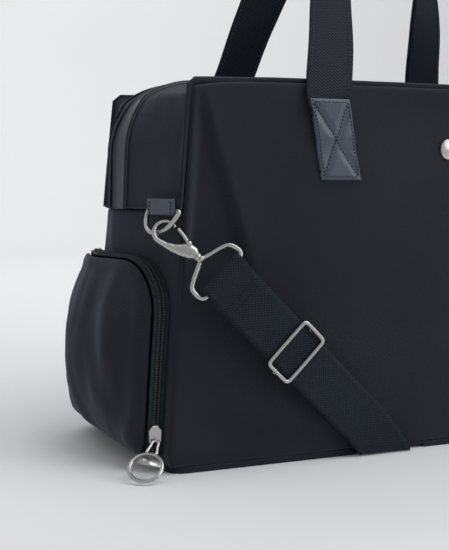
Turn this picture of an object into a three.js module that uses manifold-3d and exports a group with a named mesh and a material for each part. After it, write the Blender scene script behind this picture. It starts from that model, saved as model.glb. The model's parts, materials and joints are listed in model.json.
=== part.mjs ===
// Weekender changing bag with end pockets, carry handles and a clip-on shoulder strap.
// Millimetres, +Z up, +X along the bag, front face towards -Y, origin under the middle of the base.
import * as THREE from 'three';
import { mergeVertices } from 'three/addons/utils/BufferGeometryUtils.js';
import Module from 'manifold-3d';

const wasm = await Module();
wasm.setup();

// Driving dimensions of the body.
const HEIGHT = 290;
const BASE_LENGTH = 480;
const TOP_LENGTH = 430;
const BASE_DEPTH = 200;
const TOP_DEPTH = 184;
const FRONT_BULGE = 8;
const END_BULGE = 26;
const SEAM_Z = 193;
const FABRIC = 2.4;
const GAP = 0.4;

// Zipped opening.
const ZIP_TOP = 294;
const ZIP_CORNER = { x: 188, z: 236, rx: 60, rz: 57 };
const LIP_OUTER = 22;
const LIP_INNER = 6;
const FLAP_HALF = 150;
const FLAP_EDGE = 95;
const CURVE_CENTRE = { x: -170, z: 215 };

// Webbing, handles and patches.
const WEBBING = 38;
const WEB_THICK = 1.4;
const HANDLE_X = 109;
const HANDLE_RISE = 195;
const HANDLE_LEAN = 0.42;
const PATCH = { width: 34, low: 217, high: 279, slant: 11, thick: 1.6 };

// End pockets.
const POCKET = { half: 86, low: 13.5, high: 158, corner: 42, foot: 12, wall: 13, dome: 22 };

// Strap hardware.
const WIRE = 1.85;
const RING_RADIUS = 18;
const RING_BAR = new THREE.Vector3(-234, -77, 194);
const RING_TILT = THREE.MathUtils.degToRad(28);
const LOOP_BAR = { x: -203.5, rise: 249.5 };
const STRAP_SLOPE = THREE.MathUtils.degToRad(44);
const STRAP_STANDS_OFF = 0.0826;
const STRAP_UNDER = 1.1;
const STRAP_FOLD = { start: 99, radius: 6.6 };
const SLIDER_ALONG = 85;

// Colours of the real materials.
const TWILL = { color: 0x14171d, roughness: 0.85, metalness: 0 };
const WEB = { color: 0x1b2733, roughness: 0.7, metalness: 0 };
const LEATHER = { color: 0x232c3c, roughness: 0.45, metalness: 0 };
const COATED = { color: 0x2a303a, roughness: 0.35, metalness: 0 };
const LINING = { color: 0x4b5563, roughness: 0.8, metalness: 0 };
const BOARD = { color: 0x2b2b2b, roughness: 0.7, metalness: 0 };
const ZIP = { color: 0x0f141a, roughness: 0.6, metalness: 0.1 };
const NICKEL = { color: 0xb9bab8, roughness: 0.3, metalness: 1 };

const V = (x, y, z) => new THREE.Vector3(x, y, z);
const bag = new THREE.Group();

function closed(geometry) {
  const bare = geometry.index ? geometry.toNonIndexed() : geometry.clone();
  for (const name of Object.keys(bare.attributes)) {
    if (name !== 'position') bare.deleteAttribute(name);
  }
  const merged = mergeVertices(bare, 1e-3);
  const index = [];
  for (let i = 0; i < merged.index.count; i += 3) {
    const [a, b, c] = [0, 1, 2].map((k) => merged.index.getX(i + k));
    if (a !== b && b !== c && a !== c) index.push(a, b, c);
  }
  merged.setIndex(index);
  return merged;
}

function solidOf(geometry) {
  const shape = closed(geometry);
  const vertProperties = new Float32Array(shape.attributes.position.array);
  const triVerts = new Uint32Array(shape.index.array);
  return new wasm.Manifold(new wasm.Mesh({ numProp: 3, vertProperties, triVerts }));
}

function geometryOf(solid) {
  const mesh = solid.getMesh();
  const geometry = new THREE.BufferGeometry();
  geometry.setAttribute('position', new THREE.BufferAttribute(mesh.vertProperties, 3));
  geometry.setIndex(new THREE.BufferAttribute(mesh.triVerts, 1));
  return geometry;
}

function add(parent, name, geometry, finish) {
  const mesh = new THREE.Mesh(closed(geometry), new THREE.MeshStandardMaterial(finish));
  mesh.name = name;
  parent.add(mesh);
  return mesh;
}

// A closed sheet of the given thickness over surface(u, v), with u and v from 0 to 1.
function sheet(nu, nv, thickness, surface) {
  const geometry = new THREE.BoxGeometry(1, 1, 1, nu, nv, 1);
  const spots = geometry.attributes.position;
  const step = 1e-3;
  for (let i = 0; i < spots.count; i += 1) {
    const u = spots.getX(i) + 0.5;
    const v = spots.getY(i) + 0.5;
    const along = surface(Math.min(u + step, 1), v).sub(surface(Math.max(u - step, 0), v));
    const across = surface(u, Math.min(v + step, 1)).sub(surface(u, Math.max(v - step, 0)));
    const normal = along.cross(across).normalize();
    const thick = typeof thickness === 'function' ? thickness(u, v) : thickness;
    const spot = surface(u, v).addScaledVector(normal, spots.getZ(i) * thick);
    spots.setXYZ(i, spot.x, spot.y, spot.z);
  }
  return geometry;
}

// A flat band along a curve; widthAt(t) gives the direction of its width.
function band(curve, steps, width, thickness, widthAt) {
  return sheet(1, steps, thickness, (u, v) => {
    const tangent = curve.getTangentAt(v);
    const side = widthAt(v);
    side.addScaledVector(tangent, -side.dot(tangent)).normalize();
    return curve.getPointAt(v).addScaledVector(side, (u - 0.5) * width);
  });
}

function loop(points, radius, steps = 40, sides = 8) {
  const curve = new THREE.CatmullRomCurve3(points, true, 'centripetal');
  return new THREE.TubeGeometry(curve, steps, radius, sides, true);
}

function rod(from, to, radius, sides = 12) {
  const length = from.distanceTo(to);
  const profile = [[0, 0], [radius, 0], [radius, length], [0, length]];
  const geometry = new THREE.LatheGeometry(profile.map((p) => new THREE.Vector2(...p)), sides);
  const turn = new THREE.Quaternion();
  turn.setFromUnitVectors(V(0, 1, 0), to.clone().sub(from).normalize());
  return geometry.applyQuaternion(turn).translate(from.x, from.y, from.z);
}

function slab(outline, depth, bevel = 0) {
  const geometry = new THREE.ExtrudeGeometry(outline, {
    depth: depth - 2 * bevel,
    bevelEnabled: bevel > 0,
    bevelThickness: bevel,
    bevelSize: bevel,
    bevelOffset: -bevel,
    bevelSegments: 1,
    curveSegments: 6,
  });
  return geometry.translate(0, 0, bevel - depth / 2);
}

// Envelope of the soft body.
const halfLength = (z) => (BASE_LENGTH - (BASE_LENGTH - TOP_LENGTH) * z / HEIGHT) / 2;
const halfDepth = (z) => (BASE_DEPTH - (BASE_DEPTH - TOP_DEPTH) * z / HEIGHT) / 2;

function frontY(x, z) {
  const swell = 1 - (x / halfLength(z)) ** 2;
  return -(halfDepth(z) + FRONT_BULGE * swell * Math.sin(Math.PI / 2 * z / HEIGHT));
}

function endX(y, z) {
  const level = Math.min(z / SEAM_Z, 1);
  const swell = Math.max(1 - (Math.abs(y) / halfDepth(z)) ** 1.2, 0);
  return -(halfLength(z) + END_BULGE * Math.sin(Math.PI / 2 * level) * swell);
}

// The line of the zip over the end (t from 0) and along the top (to t = 1).
function zipLine(t) {
  const rise = 0.3;
  const turned = 0.8;
  const { x, z, rx, rz } = ZIP_CORNER;
  if (t < rise) {
    const k = t / rise;
    return V(-(249 - (249 - x - rx) * k), 0, SEAM_Z + 2 + (z - SEAM_Z - 2) * k);
  }
  if (t < turned) {
    const angle = Math.PI / 2 * (t - rise) / (turned - rise);
    return V(-(x + rx * Math.cos(angle)), 0, z + rz * Math.sin(angle));
  }
  const k = (t - turned) / (1 - turned);
  return V(-(x + (FLAP_HALF + 1 - x) * k), 0, z + rz + (ZIP_TOP - z - rz) * k);
}

// The sharp outline of the front panel that faces the zip line.
function outline(t) {
  const corner = 0.55;
  const top = HEIGHT - 1;
  if (t < corner) {
    const z = SEAM_Z + 2 + (top - SEAM_Z - 2) * (t / corner);
    return V(-halfLength(z), -halfDepth(z), z);
  }
  const x = halfLength(top) + (FLAP_HALF + 1 - halfLength(top)) * (t - corner) / (1 - corner);
  return V(-x, frontY(x, top), top);
}

// A strip of the ruled surface between zip line and outline, from near to far in |y|.
function ruledStrip(near, far, side, lift) {
  return (u, v) => {
    const inner = zipLine(v);
    const outer = outline(v);
    const k = side < 0 ? u : 1 - u;
    const reach = (near + (far - near) * k) / Math.abs(outer.y);
    const spot = inner.clone().lerp(outer, reach);
    const away = V(spot.x - CURVE_CENTRE.x, 0, spot.z - CURVE_CENTRE.z).normalize();
    spot.addScaledVector(away, lift);
    return V(spot.x, side < 0 ? spot.y : -spot.y, spot.z);
  };
}

function addFront(group, side) {
  const width = (z) => halfLength(z) - 6;
  add(group, `${side}_panel`, sheet(16, 10, FABRIC, (u, v) => {
    const z = 4.5 + (HEIGHT - 9) * v;
    const x = (2 * u - 1) * width(z);
    return V(x, frontY(x, z) + FABRIC / 2, z);
  }), TWILL);

  for (const [spot, sign] of [['left', -1], ['right', 1]]) {
    const name = `handle_patch_${side}_${side === 'front' ? spot : { left: 'right', right: 'left' }[spot]}`;
    add(group, name, sheet(3, 4, PATCH.thick, (u, v) => {
      const z = PATCH.low + (PATCH.high - PATCH.low) * v;
      const x = sign * (HANDLE_X - PATCH.slant * (1 - v)) + (u - 0.5) * PATCH.width;
      return V(x, frontY(x, z) - GAP - PATCH.thick / 2, z);
    }), LEATHER);
  }

  const half = [[HANDLE_X, 0], [100, 40], [91, 80], [75, 128], [43, 173]];
  const lean = (h) => HANDLE_LEAN * Math.max(h - 8, 0);
  const place = ([x, h]) => V(x, -100.6 + lean(h), PATCH.high + 2.5 + h);
  const left = half.map(([x, h]) => place([-x, h]));
  const right = half.map(place).reverse();
  const curve = new THREE.CatmullRomCurve3([...left, place([0, HANDLE_RISE]), ...right]);
  const across = V(0, 1, -HANDLE_LEAN).normalize();
  const twist = (t) => {
    const turn = Math.PI / 2 * Math.sin(Math.PI * t) ** 4;
    const flat = curve.getTangentAt(t).cross(across).normalize().negate();
    return flat.multiplyScalar(Math.cos(turn)).addScaledVector(across, Math.sin(turn));
  };
  add(group, `handle_${side}`, band(curve, 44, WEBBING, WEB_THICK, twist), WEB);

  add(group, `top_flap_${side}`, sheet(10, 3, FABRIC, (u, v) => {
    const y = FLAP_EDGE + (LIP_OUTER + 0.5 - FLAP_EDGE) * v;
    const z = HEIGHT - 0.6 + (ZIP_TOP - HEIGHT + 0.6) * (1 - y / 100) - FABRIC / 2;
    return V(FLAP_HALF * (2 * u - 1), -y, z);
  }), TWILL);
  add(group, `top_lip_${side}`, sheet(8, 1, 2.2, (u, v) => {
    const y = LIP_OUTER + (LIP_INNER - LIP_OUTER) * v;
    return V(FLAP_HALF * (2 * u - 1), -y, ZIP_TOP - 0.4 + 0.6 * v);
  }), COATED);
  const chain = (u, v) => (v > 0.55 ? 2.4 : 0.9);
  add(group, `top_zip_${side}`, sheet(8, 4, chain, (u, v) => {
    const y = LIP_INNER - GAP + (0.25 - LIP_INNER + GAP) * v;
    return V(FLAP_HALF * (2 * u - 1), -y, ZIP_TOP - 1.6);
  }), ZIP);
}

function addEnd(group, end, near, far) {
  add(group, `end_panel_${end}`, sheet(14, 8, FABRIC, (u, v) => {
    const z = 4.5 + (SEAM_Z - 5) * v;
    const y = (halfDepth(z) - 5) * (1 - 2 * u);
    return V(endX(y, z) + FABRIC / 2, y, z);
  }), TWILL);
  for (const [depth, side] of [[near, -1], [far, 1]]) {
    const strip = (a, b, lift) => ruledStrip(a, b, side, lift);
    add(group, `gusset_${depth}_${end}`, sheet(5, 14, 2.2, strip(LIP_OUTER + 0.8, 89, -1.3)), TWILL);
    add(group, `end_lip_${depth}_${end}`, sheet(1, 14, 2, strip(LIP_INNER, LIP_OUTER, -0.4)), COATED);
  }
  const chain = (u) => (Math.abs(u - 0.5) < 0.3 ? 2.4 : 0.9);
  add(group, `end_zip_${end}`, sheet(6, 14, chain, (u, v) => {
    const spot = zipLine(v);
    const away = V(spot.x - CURVE_CENTRE.x, 0, spot.z - CURVE_CENTRE.z).normalize();
    spot.addScaledVector(away, -1.4);
    return V(spot.x, (LIP_INNER - GAP) * (1 - 2 * u), spot.z);
  }), ZIP);
}

// Rounded outline of the end pocket, walked from foot to foot over the top.
function pocketEdge(t) {
  const { half, low, high, corner } = POCKET;
  const shape = new THREE.Path();
  shape.moveTo(-half, low);
  shape.lineTo(-half, high - corner);
  shape.absarc(-half + corner, high - corner, corner, Math.PI, Math.PI / 2, true);
  shape.lineTo(half - corner, high);
  shape.absarc(half - corner, high - corner, corner, Math.PI / 2, 0, true);
  shape.lineTo(half, low);
  return shape.getPointAt(t);
}

// Maps the square to the pocket's outline, ring by ring.
function pocketSpot(u, v) {
  const { half, low, high, corner, foot } = POCKET;
  const [p, q] = [2 * u - 1, 2 * v - 1];
  const ring = Math.max(Math.abs(p), Math.abs(q), 1e-6);
  const round = q > 0 ? corner : foot;
  const middle = (high + low) / 2;
  const rise = (high - low) / 2;
  const [y, z] = [half * p / ring, rise * q / ring];
  const [dy, dz] = [Math.abs(y) - half + round, Math.abs(z) - rise + round];
  let [ey, ez] = [Math.abs(y), Math.abs(z)];
  if (dy > 0 && dz > 0) {
    const reach = Math.hypot(dy, dz);
    const most = Math.max(dy, dz);
    const pull = reach > 0 ? most / reach : 1;
    ey = half - round + dy * pull;
    ez = rise - round + dz * pull;
  }
  return { ring, y: Math.sign(p) * ey * ring, z: middle + Math.sign(q) * ez * ring };
}

function addPocket(group, end) {
  const { wall, dome, half } = POCKET;
  add(group, `pocket_flap_${end}`, sheet(14, 12, FABRIC, (u, v) => {
    const spot = pocketSpot(1 - u, v);
    const swell = dome * (1 - spot.ring ** 2.2) ** 0.75;
    return V(endX(spot.y, spot.z) - wall - swell - 0.6, spot.y, spot.z);
  }), TWILL);
  for (const [name, from, to] of [['flap', wall - 0.6, 7], ['body', 6.4, 0.6]]) {
    add(group, `pocket_zip_${name}_${end}`, sheet(28, 1, 1.6, (u, v) => {
      const spot = pocketEdge(u);
      return V(endX(spot.x, spot.y) - (from + (to - from) * v), spot.x, spot.y);
    }), ZIP);
  }
  add(group, `pocket_floor_${end}`, sheet(8, 1, 1.6, (u, v) => {
    const y = (half - 8) * (1 - 2 * u);
    return V(endX(y, 10.5) - 0.6 - (wall - 2.4) * (1 - v), y, 10.5);
  }), TWILL);

  const slider = new THREE.Shape();
  slider.moveTo(-4.6, -6);
  slider.lineTo(4.6, -6);
  slider.lineTo(5, 3);
  slider.lineTo(2.2, 6.5);
  slider.lineTo(-2.2, 6.5);
  slider.lineTo(-5, 3);
  const body = slab(slider, 3.4, 0.6).rotateX(Math.PI / 2).translate(-246, -half - 3, 30);
  add(group, `pocket_slider_${end}`, body, NICKEL);

  const pull = new THREE.Shape();
  pull.absarc(0, -25, 13.5, Math.PI * 0.62, Math.PI * 2.38, false);
  pull.lineTo(3.4, 0);
  pull.lineTo(-3.4, 0);
  const eye = new THREE.Path();
  eye.absellipse(0, -4.6, 1.9, 2.8, 0, Math.PI * 2, false);
  const crescent = new THREE.Path();
  crescent.absarc(0, -25, 10.4, Math.PI * 1.08, Math.PI * 1.92, false);
  pull.holes.push(eye, crescent);
  const hang = V(-16, -24.5, -25.2).normalize();
  const wide = V(0.837, -0.547, 0);
  const basis = new THREE.Matrix4();
  basis.makeBasis(wide, hang.clone().negate(), wide.clone().cross(hang.clone().negate()));
  const puller = slab(pull, 2, 0.4).applyMatrix4(basis).translate(-246, -93.2, 26.8);
  add(group, `pocket_puller_${end}`, puller, NICKEL);
}

// The strap lies on a folded sheet: q runs from the middle of the base up the front face.
function foldedSpot(x, q, out) {
  const { start, radius } = STRAP_FOLD;
  const reach = Math.abs(q);
  const angle = Math.min(Math.max((reach - start) / radius, 0), Math.PI / 2);
  const climb = Math.max(reach - start - radius * Math.PI / 2, 0);
  const spread = radius + out;
  const depth = Math.min(reach, start) + spread * Math.sin(angle) + climb * STRAP_STANDS_OFF;
  const height = STRAP_UNDER + radius - spread * Math.cos(angle) + climb;
  return V(x, -Math.sign(q) * depth, height);
}

// The strap's centre line on that sheet, from the left bar to the right one.
const strapRun = V(Math.cos(STRAP_SLOPE), -Math.sin(STRAP_SLOPE), 0);
const barSpot = V(LOOP_BAR.x, LOOP_BAR.rise, 0);
const frontRun = [0, 30, 60, 90, 120, 150, 180].map((d) => barSpot.clone().addScaledVector(strapRun, d));
const underRun = V(-36, 73, 0);
const backRun = [...frontRun, underRun].map((p) => p.clone().negate()).reverse();
const strapLine = new THREE.CatmullRomCurve3([...frontRun, underRun, V(0, 0, 0), ...backRun]);
const strapLength = strapLine.getLength();

function strapSpot(d, across, out) {
  const t = THREE.MathUtils.clamp(d / strapLength, 0, 1);
  const spot = strapLine.getPointAt(t);
  const run = strapLine.getTangentAt(t);
  spot.addScaledVector(run, d - t * strapLength).add(V(-run.y, run.x, 0).multiplyScalar(across));
  return foldedSpot(spot.x, spot.y, out);
}

const barCentre = strapSpot(0, 0, 0);
const strapWay = strapSpot(100, 0, 0).sub(barCentre).normalize();
const strapWide = strapSpot(0, 1, 0).sub(barCentre).normalize();
const strapOut = strapSpot(0, 0, 1).sub(barCentre).normalize();

// Frame of the snap hook: x runs from the ring to the strap, z faces out of the bag.
const endAlong = V(0.316, -0.949, 0).normalize();
const endOut = V(-0.949, -0.316, 0).normalize();
const ringDown = endOut.clone().multiplyScalar(Math.sin(RING_TILT)).add(V(0, 0, -Math.cos(RING_TILT)));
const ringPoint = (angle) => RING_BAR.clone()
  .addScaledVector(endAlong, RING_RADIUS * Math.sin(angle))
  .addScaledVector(ringDown, RING_RADIUS * Math.cos(angle));
const hookStart = ringPoint(Math.PI * 0.165);
const hookAxis = barCentre.clone().sub(hookStart);
const hookReach = hookAxis.length();
hookAxis.normalize();
const hookSide = strapWide.clone();
hookSide.addScaledVector(hookAxis, -hookSide.dot(hookAxis)).normalize();
const hookFace = hookAxis.clone().cross(hookSide);
const hookFrame = new THREE.Matrix4().makeBasis(hookAxis, hookSide, hookFace);
hookFrame.setPosition(hookStart);
const GATE_PIVOT = { x: 21.5, y: 3.6 };

function addHardware(group, end) {
  const fold = 2.3;
  const leather = 1.5;
  const tab = new THREE.Shape();
  tab.moveTo(-fold - leather, 9);
  tab.absarc(0, 0, fold + leather, Math.PI, 2 * Math.PI, false);
  tab.lineTo(fold + leather, 9);
  tab.lineTo(fold, 9);
  tab.absarc(0, 0, fold, 2 * Math.PI, Math.PI, true);
  tab.lineTo(-fold, 9);
  const tabFrame = new THREE.Matrix4().makeBasis(endOut, V(0, 0, 1), endAlong.clone().negate());
  tabFrame.setPosition(RING_BAR);
  add(group, `ring_tab_${end}`, slab(tab, 31).applyMatrix4(tabFrame), LEATHER);

  const ring = [];
  for (let i = -6; i <= 6; i += 1) ring.push(ringPoint(i * Math.PI / 12));
  for (const k of [0.75, 0.35, -0.35, -0.75]) {
    ring.push(RING_BAR.clone().addScaledVector(endAlong, k * RING_RADIUS));
  }
  add(group, `d_ring_${end}`, loop(ring, WIRE, 36, 6), NICKEL);

  const eye = { x: 1.8, inner: 6.9, outer: 9.5 };
  const body = new THREE.Shape();
  body.absarc(eye.x, 0, eye.outer, Math.PI * 0.36, Math.PI * 1.42, false);
  body.quadraticCurveTo(12, -9, 22, -7.6);
  body.quadraticCurveTo(29.5, -6.5, 31, -2.6);
  body.lineTo(31, 2.6);
  body.lineTo(25.5, 2.6);
  body.lineTo(22, -1);
  body.quadraticCurveTo(14, -2, 9, -4.2);
  body.absarc(eye.x, 0, eye.inner, Math.PI * 1.72, Math.PI * 0.36, true);
  add(group, `snap_hook_${end}`, slab(body, 4.6, 0.9).applyMatrix4(hookFrame), NICKEL);

  const gate = new THREE.Shape();
  gate.moveTo(GATE_PIVOT.x, GATE_PIVOT.y + 2.9);
  gate.lineTo(10.2, 8);
  gate.lineTo(9.6, 5.8);
  gate.lineTo(GATE_PIVOT.x - 3, GATE_PIVOT.y + 0.4);
  gate.absarc(GATE_PIVOT.x, GATE_PIVOT.y, 2.9, Math.PI * 1.1, Math.PI * 2.5, false);
  const hole = new THREE.Path();
  hole.absarc(GATE_PIVOT.x, GATE_PIVOT.y, 1.7, 0, Math.PI * 2, false);
  gate.holes.push(hole);
  add(group, `hook_gate_${end}`, slab(gate, 3.6, 0.5).applyMatrix4(hookFrame), NICKEL);
  const pivot = V(GATE_PIVOT.x, GATE_PIVOT.y, 0);
  const pin = rod(pivot.clone().setZ(-3.4), pivot.clone().setZ(3.4), 1.3);
  add(group, `gate_pin_${end}`, pin.applyMatrix4(hookFrame), NICKEL);

  const collar = rod(V(31.5, 0, 0), V(37, 0, 0), 3.6, 14);
  const bend = [V(36, 0, 0)];
  const arm = [[38.5, 8], [41.5, 16], [44.5, 21], [hookReach - 3, 22.6]];
  const bar = [[hookReach, 20.6], [hookReach, 7]];
  for (const [x, y] of [...arm, ...bar]) bend.push(V(x, y, 0));
  for (const [x, y] of [...arm, ...bar].reverse()) bend.push(V(x, -y, 0));
  const swivel = solidOf(collar).add(solidOf(loop(bend, 1.8, 40, 6)));
  add(group, `swivel_loop_${end}`, geometryOf(swivel).applyMatrix4(hookFrame), NICKEL);
}

// Shoulder strap: one length of webbing, clipped at both ends and led under the base.
function strapEnd(under) {
  const points = under.map((d) => V(d, -2.1, 0));
  for (const [d, out] of [[2, -4], [-3, -2.4], [-4.3, 0], [-3, 2.4], [2, 4], [8, 2.3], [17, 0.6]]) {
    points.push(V(d, out, 0));
  }
  for (let d = 30; d < strapLength / 2 - 20; d += 30) points.push(V(d, 0, 0));
  return points;
}

function addStrap(group) {
  const first = strapEnd([72, 50, 24, 10]);
  const last = strapEnd([34, 20, 10]).map((p) => V(strapLength - p.x, p.y, 0)).reverse();
  const route = new THREE.CatmullRomCurve3([...first, ...last], false, 'centripetal');
  add(group, 'strap_webbing', sheet(2, 130, WEB_THICK - 0.1, (u, v) => {
    const spot = route.getPointAt(v);
    return strapSpot(spot.x, (u - 0.5) * WEBBING, spot.y);
  }), WEB);

  const frame = new THREE.Matrix4().makeBasis(strapWay, strapWide, strapWay.clone().cross(strapWide));
  const outward = Math.sign(strapWay.clone().cross(strapWide).dot(strapOut));
  frame.setPosition(strapSpot(SLIDER_ALONG, 0, 0));
  const lift = outward * 2.8;
  const [long, wide] = [11.5, 21.4];
  const round = 3;
  const corners = [];
  for (const [sx, sy] of [[1, 1], [-1, 1], [-1, -1], [1, -1]]) {
    const steps = sx * sy > 0 ? [0, 1, 2] : [2, 1, 0];
    for (const step of steps) {
      const angle = step * Math.PI / 4;
      const x = sx * (long - round + round * Math.cos(angle));
      const y = sy * (wide - round + round * Math.sin(angle));
      corners.push(V(x, y, lift));
    }
  }
  const rails = solidOf(loop(corners, 1.6, 36, 6));
  const bar = solidOf(rod(V(0, -wide - 1.4, -lift), V(0, wide + 1.4, -lift), 1.5));
  let slider = rails.add(bar);
  for (const side of [-1, 1]) {
    slider = slider.add(solidOf(rod(V(0, side * wide, -lift), V(0, side * wide, lift), 1.3)));
  }
  add(group, 'strap_slider', geometryOf(slider).applyMatrix4(frame), NICKEL);
}

function addMainSliders(group) {
  for (const [name, sign] of [['left', -1], ['right', 1]]) {
    const shape = new THREE.Shape();
    shape.moveTo(-6, -2.6);
    shape.lineTo(4, -4.8);
    shape.lineTo(6.5, -4.4);
    shape.lineTo(6.5, 4.4);
    shape.lineTo(4, 4.8);
    shape.lineTo(-6, 2.6);
    const body = slab(shape, 2.6, 0.5).rotateZ(sign < 0 ? 0 : Math.PI);
    add(group, `main_slider_${name}`, body.translate(sign * 8.5, 0, ZIP_TOP + 1.4), NICKEL);
    const tab = new THREE.Shape();
    tab.moveTo(0, -2.4);
    tab.quadraticCurveTo(6, -2.4, 12, -4.4);
    tab.absarc(26, 0, 4.4, -Math.PI / 2, Math.PI / 2, false);
    tab.lineTo(12, 4.4);
    tab.quadraticCurveTo(6, 2.4, 0, 2.4);
    const eye = new THREE.Path();
    eye.absellipse(4, 0, 2.2, 1.2, 0, Math.PI * 2, false);
    tab.holes.push(eye);
    const puller = slab(tab, 1.6, 0.3).rotateZ(sign < 0 ? Math.PI : 0);
    add(group, `main_puller_${name}`, puller.translate(sign * 9, 0, ZIP_TOP + 4), NICKEL);
  }
}

// A tub with rounded corners, made from a turned profile whose circle becomes a rounded rectangle.
function tub(profile, length, depth) {
  const geometry = new THREE.LatheGeometry(profile.map((p) => new THREE.Vector2(...p)), 36);
  geometry.rotateX(Math.PI / 2);
  const spots = geometry.attributes.position;
  for (let i = 0; i < spots.count; i += 1) {
    const [x, y, z] = [spots.getX(i), spots.getY(i), spots.getZ(i)];
    const radius = Math.hypot(x, y);
    if (radius > 1e-6) {
      const [cx, cy] = [x / radius, y / radius];
      const power = (Math.abs(cx) ** 7 + Math.abs(cy) ** 7) ** (-1 / 7);
      const inset = radius - 100;
      const edge = radius < 99 && z < 11.5 ? 0 : inset;
      spots.setXYZ(i, cx * power * (length(z) + edge), cy * power * (depth(z) + edge), z);
      if (radius < 50) spots.setXYZ(i, x, y, z);
    }
  }
  return geometry;
}

function addInside(group) {
  const base = new THREE.Shape();
  const [long, deep, round] = [BASE_LENGTH / 2 - 3, BASE_DEPTH / 2 - 3, 14];
  base.moveTo(-long + round, -deep);
  base.lineTo(long - round, -deep);
  base.absarc(long - round, -deep + round, round, -Math.PI / 2, 0, false);
  base.lineTo(long, deep - round);
  base.absarc(long - round, deep - round, round, 0, Math.PI / 2, false);
  base.lineTo(-long + round, deep);
  base.absarc(-long + round, deep - round, round, Math.PI / 2, Math.PI, false);
  base.lineTo(-long, -deep + round);
  base.absarc(-long + round, -deep + round, round, Math.PI, Math.PI * 1.5, false);
  const channel = new THREE.BoxGeometry(WEBBING + 20, 300, 5).rotateZ(-Math.atan2(50.8, 102));
  const panel = solidOf(slab(base, 4.2).translate(0, 0, 2.1));
  const cut = panel.subtract(solidOf(channel.translate(0, 0, 0.2)));
  add(group, 'base_panel', geometryOf(cut), TWILL);
  add(group, 'base_board', slab(base, 2.4).scale(0.95, 0.92, 1).translate(0, 0, 6.4), BOARD);

  const [floor, rim, skin] = [9, HEIGHT - 14, 1.2];
  const wall = [[0, floor], [100, floor], [100, 100], [100, 190], [100, rim]];
  const back = [[100 - skin, rim], [100 - skin, 190], [100 - skin, 100], [100 - skin, floor + skin]];
  const profile = [...wall, ...back, [0, floor + skin]];
  const lining = tub(profile, (z) => halfLength(z) - 8, (z) => halfDepth(z) - 7);
  add(group, 'lining', lining, LINING);

  const badge = new THREE.Shape();
  badge.absellipse(0, 0, 7.2, 8, 0, Math.PI * 2, false);
  const plate = slab(badge, 1.4, 0.3).rotateX(Math.PI / 2);
  add(group, 'front_badge', plate.translate(0, frontY(0, 242) - 1.4, 242), NICKEL);
}

const turned = new THREE.Group();
turned.rotation.z = Math.PI;
bag.add(turned);
addFront(bag, 'front');
addFront(turned, 'back');
addEnd(bag, 'left', 'front', 'back');
addEnd(turned, 'right', 'back', 'front');
for (const [group, end] of [[bag, 'left'], [turned, 'right']]) {
  addPocket(group, end);
  addHardware(group, end);
}
addStrap(bag);
addMainSliders(bag);
addInside(bag);

export default bag;
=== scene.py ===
"""Looks of the weekender changing bag: sewn fabric, zips, webbing, leather and nickel hardware."""

import json
import math

import bpy
import numpy as np
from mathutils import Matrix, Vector, noise

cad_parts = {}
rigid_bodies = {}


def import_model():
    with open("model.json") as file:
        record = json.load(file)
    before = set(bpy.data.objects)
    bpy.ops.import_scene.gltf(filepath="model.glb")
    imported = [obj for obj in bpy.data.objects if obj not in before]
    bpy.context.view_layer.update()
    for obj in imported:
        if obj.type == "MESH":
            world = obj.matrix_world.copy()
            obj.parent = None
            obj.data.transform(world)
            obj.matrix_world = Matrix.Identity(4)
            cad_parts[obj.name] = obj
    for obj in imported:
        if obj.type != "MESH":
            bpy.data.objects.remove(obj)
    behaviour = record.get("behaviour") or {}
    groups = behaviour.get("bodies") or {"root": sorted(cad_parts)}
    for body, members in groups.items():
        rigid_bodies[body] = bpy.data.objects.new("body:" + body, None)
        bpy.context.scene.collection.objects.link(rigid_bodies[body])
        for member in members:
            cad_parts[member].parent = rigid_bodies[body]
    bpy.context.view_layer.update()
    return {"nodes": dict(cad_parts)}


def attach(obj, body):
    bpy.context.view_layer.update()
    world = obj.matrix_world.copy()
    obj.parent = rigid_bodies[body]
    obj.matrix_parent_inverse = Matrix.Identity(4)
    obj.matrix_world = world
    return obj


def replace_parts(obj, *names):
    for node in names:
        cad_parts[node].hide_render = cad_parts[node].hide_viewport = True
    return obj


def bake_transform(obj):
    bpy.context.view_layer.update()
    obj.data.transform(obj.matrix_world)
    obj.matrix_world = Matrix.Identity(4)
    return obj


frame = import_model()

MM = 0.001

# Driving dimensions, in metres, as in the CAD model.
HEIGHT = 0.290
BASE_LENGTH, TOP_LENGTH = 0.480, 0.430
BASE_DEPTH, TOP_DEPTH = 0.200, 0.184
FRONT_BULGE, END_BULGE = 0.008, 0.026
SEAM_Z = 0.193
ZIP_CORNER_X, ZIP_CORNER_Z, ZIP_RX, ZIP_RZ = 0.188, 0.236, 0.060, 0.057
LIP_OUTER, LIP_INNER = 0.022, 0.006
FLAP_HALF = 0.150
WEBBING = 0.038
HANDLE_X, HANDLE_RISE, HANDLE_LEAN = 0.109, 0.195, 0.42
PATCH_LOW, PATCH_HIGH, PATCH_WIDTH, PATCH_SLANT = 0.217, 0.279, 0.034, 0.011
POCKET_HALF, POCKET_LOW, POCKET_HIGH = 0.086, 0.0125, 0.158
POCKET_CORNER, POCKET_FOOT, POCKET_WALL, POCKET_DOME = 0.042, 0.012, 0.013, 0.022

HALF_TURN, ACROSS_ZIP = np.array([-1.0, -1.0, 1.0]), np.array([1.0, -1.0, 1.0])

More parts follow.
